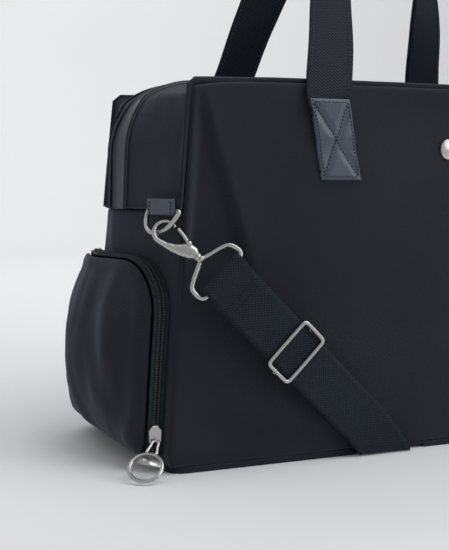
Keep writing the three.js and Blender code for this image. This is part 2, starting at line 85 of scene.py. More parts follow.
# Thickness of each kind of sheet, and where the seams and bends lie.
PANEL_THICK, TOP_THICK, LIP_THICK, TAPE_THICK = 0.0022, 0.0020, 0.0019, 0.0008
POCKET_THICK, POCKET_TAPE_THICK, FLOOR_THICK = 0.0020, 0.0010, 0.0016
PATCH_THICK, TAB_THICK, HANDLE_THICK, STRAP_THICK = 0.0016, 0.0014, 0.0019, 0.0013
PATCH_THREAD_LIFT = 0.0021
PANEL_FOOT, FACE_TOP, END_TOP = 0.0042, 0.2906, 0.1945
RIM_LOW, RIM_TOP, CORNER_AT = 0.195, 0.289, 0.55
COIL_OUT, SEAM_OUT = 1.008, 1.0065
SENSOR_WIDTH, CLIP_START = 36.0, 0.05

CAMERA_SPOT = (-0.509, -0.8282, 0.213)
CAMERA_YAW, CAMERA_PITCH = math.radians(23.34), math.radians(4.74)
CAMERA_LENS = 70.48


def make_camera():
    data = bpy.data.cameras.new("view")
    data.lens = CAMERA_LENS
    data.sensor_width = SENSOR_WIDTH
    data.clip_start = CLIP_START
    camera = bpy.data.objects.new("view", data)
    camera.location = CAMERA_SPOT
    camera.rotation_euler = (math.pi / 2 - CAMERA_PITCH, 0.0, -CAMERA_YAW)
    bpy.context.scene.collection.objects.link(camera)
    bpy.context.scene.camera = camera


make_camera()

# ---------------------------------------------------------------- materials


class Nodes:
    """A short way of wiring a procedural material."""

    def __init__(self, name, colour, roughness, metallic=0.0):
        self.material = bpy.data.materials.new(name)
        self.material.use_nodes = True
        self.tree = self.material.node_tree
        self.shader = self.tree.nodes["Principled BSDF"]
        self.put(self.shader, Base_Color=(*colour, 1.0), Roughness=roughness, Metallic=metallic)

    def add(self, kind, **values):
        node = self.tree.nodes.new(kind)
        for key, value in values.items():
            setattr(node, key, value)
        return node

    def put(self, node, **values):
        for key, value in values.items():
            node.inputs[key.replace("_", " ")].default_value = value
        return node

    def link(self, source, target):
        self.tree.links.new(source, target)

    def wire(self, **sources):
        """Links outputs to the shader's inputs, with _ for a space in an input's name."""
        for key, source in sources.items():
            self.link(source, self.shader.inputs[key.replace("_", " ")])

    def weigh(self, *terms):
        """The sum of each value times its weight."""
        products = [self.math("MULTIPLY", value, weight) for value, weight in terms]
        total = products[0]
        for product in products[1:]:
            total = self.math("ADD", total, product)
        return total

    def math(self, operation, first, second=None):
        node = self.add("ShaderNodeMath", operation=operation)
        for slot, value in enumerate((first, second)):
            if value is None:
                continue
            if isinstance(value, (int, float)):
                node.inputs[slot].default_value = value
            else:
                self.link(value, node.inputs[slot])
        return node.outputs[0]

    def noise(self, coords, scale, detail=4.0, roughness=0.6):
        node = self.put(self.add("ShaderNodeTexNoise"), Scale=scale, Detail=detail, Roughness=roughness)
        self.link(coords, node.inputs["Vector"])
        return node.outputs["Fac"]

    def mix(self, factor, low, high):
        node = self.add("ShaderNodeMix", data_type="RGBA")
        node.inputs[6].default_value = (*low, 1.0)
        node.inputs[7].default_value = (*high, 1.0)
        self.link(factor, node.inputs[0])
        return node.outputs[2]

    def stretch(self, value, low, high, out_low=0.0, out_high=1.0):
        node = self.add("ShaderNodeMapRange")
        self.link(value, node.inputs[0])
        for slot, number in enumerate((low, high, out_low, out_high), start=1):
            node.inputs[slot].default_value = number
        return node.outputs[0]

    def bump(self, height, strength, distance, after=None):
        node = self.put(self.add("ShaderNodeBump"), Strength=strength, Distance=distance)
        self.link(height, node.inputs["Height"])
        if after is not None:
            self.link(after, node.inputs["Normal"])
        return node.outputs["Normal"]


def object_coords(nodes):
    return nodes.add("ShaderNodeTexCoord").outputs["Object"]


def twill_material(name, dark, light, pitch=0.0011):
    nodes = Nodes(name, light, 0.82)
    coords = object_coords(nodes)
    parts = nodes.add("ShaderNodeSeparateXYZ")
    nodes.link(coords, parts.inputs[0])
    across = nodes.math("ADD", parts.outputs[0], parts.outputs[1])
    turns = 2 * math.pi / pitch
    ribs = nodes.math("SINE", nodes.math("MULTIPLY", nodes.math("ADD", across, parts.outputs[2]), turns))
    against = nodes.math("SUBTRACT", across, parts.outputs[2])
    cross = nodes.math("SINE", nodes.math("MULTIPLY", against, turns * 0.5))
    weave = nodes.math("ADD", ribs, nodes.math("MULTIPLY", cross, 0.6))
    fibres = nodes.noise(coords, 900.0, 5.0, 0.7)
    clouds = nodes.noise(coords, 9.0, 3.0)
    shade = nodes.weigh((weave, 0.14), (fibres, 0.9), (nodes.math("SUBTRACT", clouds, 0.5), 0.5))
    nodes.wire(Base_Color=nodes.mix(nodes.stretch(shade, 0.1, 0.9), dark, light))
    nodes.wire(Roughness=nodes.stretch(fibres, 0.3, 0.7, 0.74, 0.92))
    fine = nodes.bump(weave, 0.35, 0.00025)
    nodes.wire(Normal=nodes.bump(fibres, 0.25, 0.0004, fine))
    nodes.put(nodes.shader, Sheen_Weight=0.22, Sheen_Roughness=0.45, Sheen_Tint=(0.55, 0.65, 0.85, 1.0),
              Specular_IOR_Level=0.25)
    return nodes.material


def webbing_material(name, dark, light, rib=0.0026):
    """Plain basket weave of thick yarns, laid along the strip's own length."""
    nodes = Nodes(name, light, 0.6)
    strip = nodes.add("ShaderNodeUVMap", uv_map="strip").outputs["UV"]
    parts = nodes.add("ShaderNodeSeparateXYZ")
    nodes.link(strip, parts.inputs[0])
    turns = 2 * math.pi / rib
    warp = nodes.math("SINE", nodes.math("MULTIPLY", parts.outputs[0], turns))
    weft = nodes.math("SINE", nodes.math("MULTIPLY", parts.outputs[1], turns))
    checks = nodes.math("MULTIPLY", warp, weft)
    ribs = nodes.math("ABSOLUTE", nodes.math("SINE", nodes.math("MULTIPLY", parts.outputs[0], turns / 2)))
    height = nodes.weigh((checks, 0.5), (ribs, 0.4))
    coords = object_coords(nodes)
    fibres = nodes.noise(coords, 1500.0, 3.0, 0.7)
    clouds = nodes.noise(coords, 14.0, 3.0)
    shade = nodes.weigh((checks, 0.32), (fibres, 0.6), (clouds, 0.35))
    nodes.wire(Base_Color=nodes.mix(nodes.stretch(shade, 0.1, 0.95), dark, light))
    rough = nodes.bump(height, 0.75, 0.0006)
    nodes.wire(Normal=nodes.bump(fibres, 0.3, 0.0003, rough))
    nodes.wire(Roughness=nodes.stretch(fibres, 0.3, 0.7, 0.5, 0.7))
    nodes.put(nodes.shader, Specular_IOR_Level=0.22, Sheen_Weight=0.05, Sheen_Tint=(0.4, 0.62, 1.0, 1.0))
    return nodes.material


def leather_material(name, dark, light, roughness=0.38, grain=700.0):
    nodes = Nodes(name, light, roughness)
    coords = object_coords(nodes)
    cells = nodes.put(nodes.add("ShaderNodeTexVoronoi", feature="DISTANCE_TO_EDGE"), Scale=grain)
    nodes.link(coords, cells.inputs["Vector"])
    creases = nodes.stretch(cells.outputs["Distance"], 0.0, 0.25)
    clouds = nodes.noise(coords, 60.0, 4.0)
    nodes.wire(Base_Color=nodes.mix(clouds, dark, light))
    pores = nodes.bump(creases, 0.28, 0.00022)
    nodes.wire(Normal=nodes.bump(clouds, 0.15, 0.0008, pores))
    nodes.wire(Roughness=nodes.stretch(clouds, 0.3, 0.7, roughness - 0.07, roughness + 0.1))
    nodes.put(nodes.shader, Coat_Weight=0.15, Coat_Roughness=0.35)
    return nodes.material


def metal_material(name, colour, roughness=0.26):
    nodes = Nodes(name, colour, roughness, 1.0)
    coords = object_coords(nodes)
    smear = nodes.noise(coords, 220.0, 5.0, 0.65)
    grain = nodes.noise(coords, 2500.0, 2.0)
    nodes.wire(Roughness=nodes.stretch(smear, 0.3, 0.7, roughness - 0.06, roughness + 0.12))
    tint = tuple(c * 0.86 for c in colour)
    nodes.wire(Base_Color=nodes.mix(smear, tint, colour))
    nodes.wire(Normal=nodes.bump(grain, 0.12, 0.0001))
    return nodes.material


def thread_material(name, colour):
    nodes = Nodes(name, colour, 0.6)
    coords = object_coords(nodes)
    twist = nodes.noise(coords, 2200.0, 2.0)
    nodes.wire(Base_Color=nodes.mix(twist, tuple(c * 0.6 for c in colour), colour))
    nodes.wire(Normal=nodes.bump(twist, 0.4, 0.0002))
    return nodes.material


def board_material(name, colour):
    nodes = Nodes(name, colour, 0.7)
    coords = object_coords(nodes)
    fibres = nodes.noise(coords, 300.0, 5.0)
    nodes.wire(Base_Color=nodes.mix(fibres, tuple(c * 0.7 for c in colour), colour))
    nodes.wire(Normal=nodes.bump(fibres, 0.3, 0.0003))
    return nodes.material


TWILL = twill_material("navy_twill", (0.0038, 0.0047, 0.0076), (0.0176, 0.0205, 0.0290))
LINING = twill_material("grey_lining", (0.07, 0.08, 0.10), (0.14, 0.16, 0.19), 0.0008)
WEB = webbing_material("navy_webbing", (0.0005, 0.0016, 0.0034), (0.0090, 0.0185, 0.0310))
TAPE = webbing_material("zip_tape", (0.004, 0.009, 0.013), (0.018, 0.036, 0.046), 0.0012)
LEATHER = leather_material("navy_leather", (0.026, 0.038, 0.060), (0.052, 0.073, 0.105), 0.31)
COATED = leather_material("coated_trim", (0.024, 0.028, 0.036), (0.042, 0.048, 0.060), 0.34, 1400.0)
NICKEL = metal_material("satin_nickel", (0.50, 0.49, 0.475))
COIL = thread_material("zip_coil", (0.008, 0.010, 0.013))
THREAD = thread_material("navy_thread", (0.035, 0.045, 0.062))
LEATHER_THREAD = thread_material("patch_thread", (0.007, 0.010, 0.017))
BOARD = board_material("fibre_board", (0.04, 0.04, 0.04))

# ---------------------------------------------------------------- mesh tools


def unit(vectors):
    return vectors / np.maximum(np.linalg.norm(vectors, axis=-1, keepdims=True), 1e-12)


def stack(x, y, z):
    return np.stack(np.broadcast_arrays(x, y, z), axis=-1).astype(float)


def make_object(name, points, faces, material, uvs=None, body="root"):
    mesh = bpy.data.meshes.new(name)
    mesh.from_pydata([tuple(p) for p in points], [], faces)
    mesh.polygons.foreach_set("use_smooth", [True] * len(mesh.polygons))
    if uvs is not None:
        layer = mesh.uv_layers.new(name="strip")
        corners = np.empty(len(mesh.loops), dtype=np.int32)
        mesh.loops.foreach_get("vertex_index", corners)
        layer.data.foreach_set("uv", np.asarray(uvs, dtype=np.float32)[corners].ravel())
    mesh.materials.append(material)
    obj = bpy.data.objects.new(name, mesh)
    bpy.context.scene.collection.objects.link(obj)
    if body:
        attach(obj, body)
    return obj


def distances(path):
    """How far along a path each of its points lies."""
    return np.concatenate([[0], np.cumsum(np.linalg.norm(np.diff(path, axis=0), axis=1))])


def sampled(wanted, reach, path):
    """The path's columns, interpolated at the wanted distances along it."""
    return np.stack([np.interp(wanted, reach, column) for column in np.asarray(path).T], axis=-1)


def normals_of(surface, u, v, du=1e-3, dv=1e-3):
    """Unit normals of surface(u, v), along du x dv."""
    return unit(np.cross(surface(u + du, v) - surface(u - du, v), surface(u, v + dv) - surface(u, v - dv)))


def spread(count, clusters=0.0):
    """Steps from 0 to 1, packed towards both ends when clusters is above 0."""
    t = np.linspace(0.0, 1.0, count + 1)
    return t - clusters * np.sin(2 * math.pi * t) / (2 * math.pi)


def sheet_points(surface, us, vs):
    u, v = np.meshgrid(us, vs, indexing="ij")
    points = surface(u, v)
    step = 1e-4
    along = surface(np.minimum(u + step, 1), v) - surface(np.maximum(u - step, 0), v)
    across = surface(u, np.minimum(v + step, 1)) - surface(u, np.maximum(v - step, 0))
    return u, v, points, unit(np.cross(along, across))


def sheet(name, surface, nu, nv, thick, material, body="root", shape=None, roll=0.0, pack=0.6, centred=False,
          butted=False):
    """A closed fabric sheet over surface(u, v), outside along du x dv.

    butted keeps the edge at v 1 unrolled, for a seam against its mirror image.
    """
    us, vs = spread(nu, pack if roll else 0.0), spread(nv, pack if roll else 0.0)
    u, v, points, normals = sheet_points(surface, us, vs)
    run = np.linalg.norm(np.diff(points, axis=0), axis=-1)
    rise = np.linalg.norm(np.diff(points, axis=1), axis=-1)
    lengths_u = np.concatenate([np.zeros((1, nv + 1)), np.cumsum(run, axis=0)])
    lengths_v = np.concatenate([np.zeros((nu + 1, 1)), np.cumsum(rise, axis=1)], axis=1)
    edge = np.minimum(
        np.minimum(lengths_u, lengths_u[-1:] - lengths_u),
        lengths_v if butted else np.minimum(lengths_v, lengths_v[:, -1:] - lengths_v),
    )
    if shape is not None:
        points = points + normals * shape(u, v, points, edge)[..., None]
    if roll:
        inside = 1 - np.clip(edge / roll, 0, 1)
        points = points - normals * (roll * (1 - np.sqrt(1 - inside**2)))[..., None]
    lift = thick / 2 if centred else 0.0
    top = (points + normals * lift).reshape(-1, 3)
    low = (points - normals * (thick - lift)).reshape(-1, 3)
    count = len(top)
    wide = nv + 1
    faces = []
    for i in range(nu):
        for j in range(nv):
            a = i * wide + j
            faces.append((a, a + wide, a + wide + 1, a + 1))
            faces.append((count + a, count + a + 1, count + a + wide + 1, count + a + wide))
    rim = [i * wide for i in range(nu)] + [nu * wide + j for j in range(nv)]
    rim += [(nu - i) * wide + nv for i in range(nu)] + [nv - j for j in range(nv)]
    for a, b in zip(rim, rim[1:] + rim[:1]):
        faces.append((b, a, count + a, count + b))
    strip = np.stack([lengths_u, lengths_v], axis=-1).reshape(-1, 2)
    return make_object(name, np.concatenate([top, low]), faces, material, np.concatenate([strip, strip]), body)


def smooth_path(points, count, looped=False):
    """Centripetal spline through the points, as evenly spaced samples."""
    curve_points = [np.asarray(p, float) for p in points]
    if looped:
        curve_points = [curve_points[-1], *curve_points, curve_points[0], curve_points[1]]
    else:
        head = 2 * curve_points[0] - curve_points[1]
        tail = 2 * curve_points[-1] - curve_points[-2]
        curve_points = [head, *curve_points, tail]
    samples = []
    for a, b, c, d in zip(curve_points, curve_points[1:], curve_points[2:], curve_points[3:]):
        knots = [0.0]
        for first, second in ((a, b), (b, c), (c, d)):
            knots.append(knots[-1] + max(np.linalg.norm(second - first), 1e-7) ** 0.5)
        for t in np.linspace(knots[1], knots[2], 12, endpoint=False):
            def between(p, q, low, high):
                return p * (high - t) / (high - low) + q * (t - low) / (high - low)
            ab, bc, cd = (
                between(p, q, knots[k], knots[k + 1]) for k, (p, q) in enumerate(((a, b), (b, c), (c, d)))
            )
            abc, bcd = between(ab, bc, knots[0], knots[2]), between(bc, cd, knots[1], knots[3])
            samples.append(between(abc, bcd, knots[1], knots[2]))
    samples.append(curve_points[-2])
    samples = np.array(samples)
    reach = distances(samples)
    wanted = np.linspace(0, reach[-1], count, endpoint=not looped)
    return sampled(wanted, reach, samples)


def tube(name, path, radius, material, body="root", sides=12, looped=False, radii=None, flatten=1.0, up=None):
    """A round or oval bar along sampled points, with domed ends when it isn't a loop."""
    path = np.asarray(path, float)
    count = len(path)
    if looped:
        tangents = unit(np.roll(path, -1, axis=0) - np.roll(path, 1, axis=0))
    else:
        tangents = unit(np.gradient(path, axis=0))
    side = np.asarray(up, float) if up is not None else np.array([0.31, 0.17, 0.93])
    frames = []
    for tangent in tangents:
        side = side - tangent * side.dot(tangent)
        side = side / np.linalg.norm(side)
        frames.append((side.copy(), np.cross(tangent, side)))
    points, faces = [], []
    size = np.full(count, radius) if radii is None else np.asarray(radii)
    squeeze = np.broadcast_to(flatten, (count,))
    for spot, (first, second), reach, thin in zip(path, frames, size, squeeze):
        for k in range(sides):
            angle = 2 * math.pi * k / sides
            points.append(spot + reach * (math.cos(angle) * first * thin + math.sin(angle) * second))
    rings = count if looped else count - 1
    for i in range(rings):
        for k in range(sides):
            a, b = i * sides + k, i * sides + (k + 1) % sides
            c, d = ((i + 1) % count) * sides + (k + 1) % sides, ((i + 1) % count) * sides + k
            faces.append((a, b, c, d))
    if not looped:
        for end, order, push in ((0, -1, -0.5), (count - 1, 1, 0.5)):
            points.append(path[end] + tangents[end] * size[end] * push)
            tip = len(points) - 1
            for k in range(sides):
                a, b = end * sides + k, end * sides + (k + 1) % sides
                faces.append((a, b, tip) if order > 0 else (b, a, tip))
    return make_object(name, points, faces, material, None, body)


def joined(name, objects):
    """Makes one piece of several meshes that share a body."""
    for obj in bpy.context.scene.objects:
        obj.select_set(obj in objects)
    bpy.context.view_layer.objects.active = objects[0]
    bpy.ops.object.join()
    whole = bpy.context.view_layer.objects.active
    whole.name = name
    whole.select_set(False)
    return whole


def stitches(name, path, normals, pitch, length, radius, material, body="root"):
    """A row of short thread stitches that sit a little proud of a surface."""
    path = np.asarray(path, float)
    reach = distances(path)
    points, faces = [], []
    sides = 5
    for start in np.arange(pitch / 2, reach[-1] - length, pitch):
        ends = [sampled(s, reach, path) for s in (start, start + length)]
        out = sampled(start, reach, normals)
        run = (ends[1] - ends[0]) / np.linalg.norm(ends[1] - ends[0])
        flat = np.cross(run, out)
        base = len(points)
        for f, fat in ((0.0, 0.2), (0.25, 1.0), (0.75, 1.0), (1.0, 0.2)):
            spot = ends[0] * (1 - f) + ends[1] * f + out * radius * (0.9 if fat == 1.0 else 0.1)
            for k in range(sides):
                angle = 2 * math.pi * k / sides
                points.append(spot + radius * fat * (math.cos(angle) * flat + math.sin(angle) * out))
        for ring in range(3):
            for k in range(sides):
                a, b = base + ring * sides + k, base + ring * sides + (k + 1) % sides
                faces.append((a, a + sides, b + sides, b))
        faces.append(tuple(base + k for k in range(sides)))
        faces.append(tuple(base + 3 * sides + k for k in reversed(range(sides))))
    return make_object(name, points, faces, material, None, body)


def turned(points, flip=True):
    """Half a turn about the vertical axis, unless flip is False."""
    return np.asarray(points, float) * HALF_TURN if flip else points


def ripple(points, size, seed):
    """Smooth random height, about -1 to 1, at each point."""
    flat = points.reshape(-1, 3)
    shift = Vector((seed * 7.3, seed * 3.1, seed * 5.7))
    values = [noise.noise(Vector(p) / size + shift) for p in flat]
    return np.array(values).reshape(points.shape[:-1])


# ---------------------------------------------------------------- bag geometry


def half_length(z):
    return (BASE_LENGTH - (BASE_LENGTH - TOP_LENGTH) * z / HEIGHT) / 2


def half_depth(z):
    return (BASE_DEPTH - (BASE_DEPTH - TOP_DEPTH) * z / HEIGHT) / 2


def front_y(x, z):
    bulge = FRONT_BULGE * (1 - (x / half_length(z)) ** 2) * np.sin(math.pi / 2 * np.clip(z / HEIGHT, 0, 1))
    return -(half_depth(z) + bulge)


def end_x(y, z):
    fullness = np.sin(math.pi / 2 * np.clip(z / SEAM_Z, 0, 1))
    return -(half_length(z) + END_BULGE * fullness * np.maximum(1 - (np.abs(y) / half_depth(z)) ** 1.2, 0))


def lerp(a, b, t):
    return a + (b - a) * t


def smooth(t):
    t = np.clip(t, 0, 1)
    return t * t * (3 - 2 * t)


ZIP_KNOTS = (0.3, 0.8)


def zip_line(t):
    """x and z of the zip over the left end, from the tab up and round to the flap."""
    t = np.asarray(t, float)
    rise = np.clip(t / ZIP_KNOTS[0], 0, 1)
    turn = np.clip((t - ZIP_KNOTS[0]) / (ZIP_KNOTS[1] - ZIP_KNOTS[0]), 0, 1) * math.pi / 2
    flat = np.clip((t - ZIP_KNOTS[1]) / (1 - ZIP_KNOTS[1]), 0, 1)
    x = np.where(t < ZIP_KNOTS[0], -0.249 + 0.001 * rise,
                 -ZIP_CORNER_X - ZIP_RX * np.cos(turn) + (ZIP_CORNER_X - FLAP_HALF - 0.001) * flat)
    z = np.where(t < ZIP_KNOTS[0], 0.195 + 0.041 * rise, ZIP_CORNER_Z + ZIP_RZ * np.sin(turn) + 0.0012 * flat)
    return x, z


def outline(t):
    """x, y and z of the front-left rim: up the corner seam, then along the top edge to the flap."""
    t = np.asarray(t, float)
    rise, run = np.clip(t / CORNER_AT, 0, 1), np.clip((t - CORNER_AT) / 0.45, 0, 1)
    z = RIM_LOW + 0.094 * rise
    x = np.where(t < CORNER_AT, -half_length(z), -TOP_LENGTH / 2 + (TOP_LENGTH / 2 - FLAP_HALF - 0.001) * run)
    y = np.where(t < CORNER_AT, -half_depth(z), front_y(x, RIM_TOP))
    return x, y, z


def copies(build, *args):
    """The left or front piece, then the same piece turned half way round."""
    build(*args, "left", False)
    build(*args, "right", True)


def side_surface(surface, flip):
    return lambda u, v: turned(surface(u, v), flip)


# ---------------------------------------------------------------- relief: how the soft body really sits


def fade(x, low, high):
    return smooth((x - low) / (high - low))


def ridge(x, z, start, end, width):
    """A soft fold from start to end on a face: 1 on its crest, fading at its ends."""
    run_x, run_z = end[0] - start[0], end[1] - start[1]
    length = math.hypot(run_x, run_z)
    s = ((x - start[0]) * run_x + (z - start[1]) * run_z) / length**2
    away = ((x - start[0]) * run_z - (z - start[1]) * run_x) / length
    ends = fade(s, -0.12, 0.25) * (1 - fade(s, 0.75, 1.12))
    return np.exp(-((away / width) ** 2)) * ends


def base_tuck(z):
    """How far the walls turn in towards the base."""
    return 0.005 * np.clip(1 - z / 0.020, 0, 1) ** 2


def front_relief(x, z, seed):
    """How far the slumped front stands out of its nominal surface, in metres."""
    x, z = np.broadcast_arrays(x, z)
    spots = stack(x, 0.0, z)
    inside = fade(half_length(z) - np.abs(x), 0.0, 0.03) * fade(z, 0.0, 0.03)
    inside = inside * (1 - fade(z, 0.272, RIM_TOP) * 0.8)
    folds = 0.0034 * ripple(spots * [1, 1, 0.55], 0.105, seed) + 0.0009 * ripple(spots, 0.034, seed + 3)
    lean = (x + 0.2125) * 0.961 - (0.285 - z) * 0.277
    corner = -0.0062 * (1 - smooth((lean + 0.006) / 0.012)) * fade(z, 0.10, 0.17)
    corner = corner + 0.0016 * ridge(x, z, (-0.2125, 0.285), (-0.174, 0.150), 0.010)
    corner = corner + 0.0030 * ridge(x, z, (0.200, 0.275), (0.150, 0.150), 0.014)
    low = 0.0028 * ridge(x, z, (-0.215, 0.050), (-0.060, 0.026), 0.012)
    low = low + 0.0024 * ridge(x, z, (0.060, 0.030), (0.215, 0.065), 0.014)
    sag = -0.0045 * np.exp(-(((z - 0.262) / 0.022) ** 2)) * np.exp(-((x / 0.085) ** 2))
    edge = fade(half_length(z) - np.abs(x), 0.0, 0.012) * (1 - fade(z, 0.278, 0.290))
    return inside * (folds + low + sag) + edge * corner - base_tuck(z)


def front_skin(x, z, seed, out=0.0):
    return stack(x, front_y(x, z) - front_relief(x, z, seed) - out, z)


def end_relief(y, z, seed):
    y, z = np.broadcast_arrays(y, z)
    spots = stack(y, 0.3, z)
    inside = fade(half_depth(z) - np.abs(y), 0.0, 0.025) * fade(z, 0.0, 0.02) * (1 - fade(z, 0.17, 0.193))
    return inside * 0.0026 * ripple(spots, 0.06, seed) - base_tuck(z)


def end_skin(y, z, seed, out=0.0):
    return stack(end_x(y, z) - end_relief(y, z, seed) - out, y, z)


# ---------------------------------------------------------------- fabric panels

FRONT_SEEDS = {"front": 2, "back": 9}


def add_face(side, flip):
    seed = FRONT_SEEDS[side]

    def surface(u, v):
        z = lerp(PANEL_FOOT, FACE_TOP - 0.0050 * np.abs(2 * u - 1) ** 12, v)
        x = (2 * u - 1) * (half_length(z) + 0.0002 - base_tuck(z))
        return front_skin(x, z, seed)

    face = sheet(f"{side}_cloth", side_surface(surface, flip), 200, 130, PANEL_THICK, TWILL,
                 roll=0.0034, pack=0.75)
    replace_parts(face, f"{side}_panel")

    for spot, sign in (("left", -1), ("right", 1)):
        node = f"handle_patch_{side}_" + (spot if not flip else {"left": "right", "right": "left"}[spot])

        def patch_surface(u, v, lift=0.0019, sign=sign):
            z = lerp(PATCH_LOW, PATCH_HIGH, v)
            x = sign * (HANDLE_X - PATCH_SLANT * (1 - v)) + (u - 0.5) * PATCH_WIDTH
            p, q = np.abs(2 * u - 1), np.abs(2 * v - 1)
            puff = 0.0009 * np.minimum(smooth(np.abs(p - q) / 0.35), smooth((1 - np.maximum(p, q)) / 0.12))
            over_web = 0.0026 * smooth((v - 0.34) / 0.22)
            return front_skin(x, z, seed, lift + puff + over_web)

        patch = sheet(f"leather_{node[7:]}", side_surface(patch_surface, flip), 36, 56, PATCH_THICK, LEATHER,
                      roll=0.0011, pack=0.6)
        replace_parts(patch, node)
        add_box_stitch(f"stitching_{node[7:]}",
                       lambda u, v, f=patch_surface: turned(f(u, v, PATCH_THREAD_LIFT), flip))


def add_box_stitch(name, surface):
    """The border and cross that hold the leather patch and the webbing under it."""
    near, far = 0.075, 0.925
    low, high = 0.045, 0.955
    runs = [((near, low), (far, low)), ((far, low), (far, high)), ((far, high), (near, high)),
            ((near, high), (near, low)), ((near, low), (far, high)), ((near, high), (far, low))]
    rows = []
    for k, ((u0, v0), (u1, v1)) in enumerate(runs):
        t = np.linspace(0, 1, 30)
        u, v = lerp(u0, u1, t), lerp(v0, v1, t)
        path = surface(u, v)
        normals = normals_of(surface, u, v)
        rows.append(stitches(f"{name}_{k}", path, normals, 0.0027, 0.0020, 0.00034, LEATHER_THREAD))
    joined(name, rows)


add_face("front", False)
add_face("back", True)


def add_end(end, flip):
    def surface(u, v):
        z = lerp(PANEL_FOOT, END_TOP, v)
        y = (1 - 2 * u) * (half_depth(z) - 0.0005 - base_tuck(z))
        return end_skin(y, z, 4 if end == "left" else 14)

    panel = sheet(f"end_cloth_{end}", side_surface(surface, flip), 90, 90, PANEL_THICK, TWILL,
                  roll=0.0040, pack=0.75)
    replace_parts(panel, f"end_panel_{end}")


copies(add_end)


# ---------------------------------------------------------------- top: cloth, shiny lips, tape and coil

STRIP_END = 1.62


def rim_line(t):
    """Zip line and rim, carried on from the end over half of the top."""
    over = np.clip((t - 1) / (STRIP_END - 1), 0, 1)
    zx, zz = zip_line(np.clip(t, 0, 1))
    ox, oy, oz = outline(np.clip(t, 0, 1))
    zx, ox = lerp(zx, 0.0, over), lerp(ox, 0.0, over)
    oy = np.where(t > 1, front_y(ox, oz), oy)
    return zx, zz, ox, oy, oz


def top_spot(t, reach, lift, seed):
    """A spot on the closed top: reach is the distance in y from the zip line."""
    zx, zz, ox, oy, oz = rim_line(t)
    k = reach / np.abs(oy)
    x, z = lerp(zx, ox, k), lerp(zz, oz, k)
    away_x, away_z = np.minimum(x + 0.170, 0), z - 0.215
    size = np.hypot(away_x, away_z)
    spots = stack(x, reach + 0 * t, z)
    inside = fade(reach, 0.022, 0.060) * (1 - fade(k, 0.70, 1.0))
    hollow = -0.0052 * fade(t, 0.10, 0.45) * (1 - fade(t, 0.75, 1.05))
    hollow = hollow * fade(k, 0.30, 0.75) * (1 - fade(k, 0.86, 1.0))
    inside = inside * (1 - fade(t, STRIP_END - 0.22, STRIP_END))
    soft = hollow + inside * (0.0036 * ripple(spots, 0.07, seed) + 0.0010 * ripple(spots, 0.026, seed + 2))
    puff = lift + soft
    return stack(x + puff * away_x / size, -reach, z + puff * away_z / size)


def mirrored(surface):
    """The same surface on the other side of the zip, still facing outwards."""
    return lambda u, v: surface(1 - u, v) * ACROSS_ZIP


def quadrants():
    for depth, mirror in (("front", False), ("back", True)):
        for flip in (False, True):
            side = depth if not flip else {"front": "back", "back": "front"}[depth]
            yield mirror, flip, side, "right" if flip else "left"


def bend_with_flap(obj, side, end):
    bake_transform(obj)


def add_top(mirror, flip, side, end):
    seed = 20 + 3 * mirror + 7 * flip

    def placed(surface):
        return side_surface(mirrored(surface) if mirror else surface, flip)

    def strip(inner, outer, lift):
        """u runs from the rim to the zip, so that du x dv faces out."""
        def surface(u, v):
            t = STRIP_END * v
            _, _, _, oy, _ = rim_line(t)
            far = np.minimum(outer, np.abs(oy) - 0.0022)
            return top_spot(t, lerp(far, inner, u), lift, seed)
        return placed(surface)

    cloth = sheet(f"top_cloth_{side}_{end}", strip(LIP_OUTER - 0.001, 0.2, -0.0002), 60, 150, TOP_THICK, TWILL,
                  body=None, roll=0.0030, pack=0.7, butted=True)
    lip = sheet(f"lip_{side}_{end}", strip(LIP_INNER, LIP_OUTER, 0.0009), 14, 150, LIP_THICK, COATED,
                body=None, roll=0.0012, pack=0.4, butted=True)
    tape = sheet(f"tape_{side}_{end}", strip(0.0011, LIP_INNER + 0.001, -0.0016), 6, 150, TAPE_THICK, TAPE,
                 body=None)
    replaced = {
        cloth: [f"gusset_{side}_{end}"], lip: [f"end_lip_{side}_{end}"], tape: [],
    }
    if end == "left":
        replaced[cloth].append(f"top_flap_{side}")
        replaced[lip].append(f"top_lip_{side}")
        replaced[tape].append(f"top_zip_{side}")
    if (side, end) in (("front", "left"), ("front", "right")):
        replaced[tape].append(f"end_zip_{end}")
    for obj, nodes in replaced.items():
        bend_with_flap(obj, side, end)
        if nodes:
            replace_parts(obj, *nodes)

    t = np.linspace(0, STRIP_END, 900)
    path = top_spot(t, 0.0013 + 0 * t, -0.0006, seed)
    swing = ACROSS_ZIP if mirror else np.ones(3)
    path = turned(path * swing, flip)
    reach = distances(path)
    teeth = 0.00125 + 0.00035 * np.sin(2 * math.pi * reach / 0.0016)
    coil = tube(f"coil_{side}_{end}", path, 0.00125, COIL, body=None, sides=8, radii=teeth)
    bend_with_flap(coil, side, end)

    for row, spot, lift in (("lip", LIP_INNER + 0.0022, 0.0011), ("edge", LIP_OUTER - 0.0022, 0.0011),
                            ("cloth", LIP_OUTER + 0.0042, 0.0002)):
        t = np.linspace(0.02, STRIP_END, 400)
        u = 0 * t
        def line(shift_t, shift_reach, spot=spot, lift=lift):
            return top_spot(t + shift_t, spot + shift_reach + u, lift, seed)
        path = line(0, 0)
        normals = unit(np.cross(line(0, -1e-4) - line(0, 1e-4), line(1e-4, 0) - line(-1e-4, 0)))
        path, normals = turned(path * swing, flip), turned(normals * swing, flip)
        row_obj = stitches(f"seam_{row}_{side}_{end}", path, normals, 0.0033, 0.0024, 0.0003, THREAD, body=None)
        bend_with_flap(row_obj, side, end)


for quadrant in quadrants():
    add_top(*quadrant)


# ---------------------------------------------------------------- end pockets


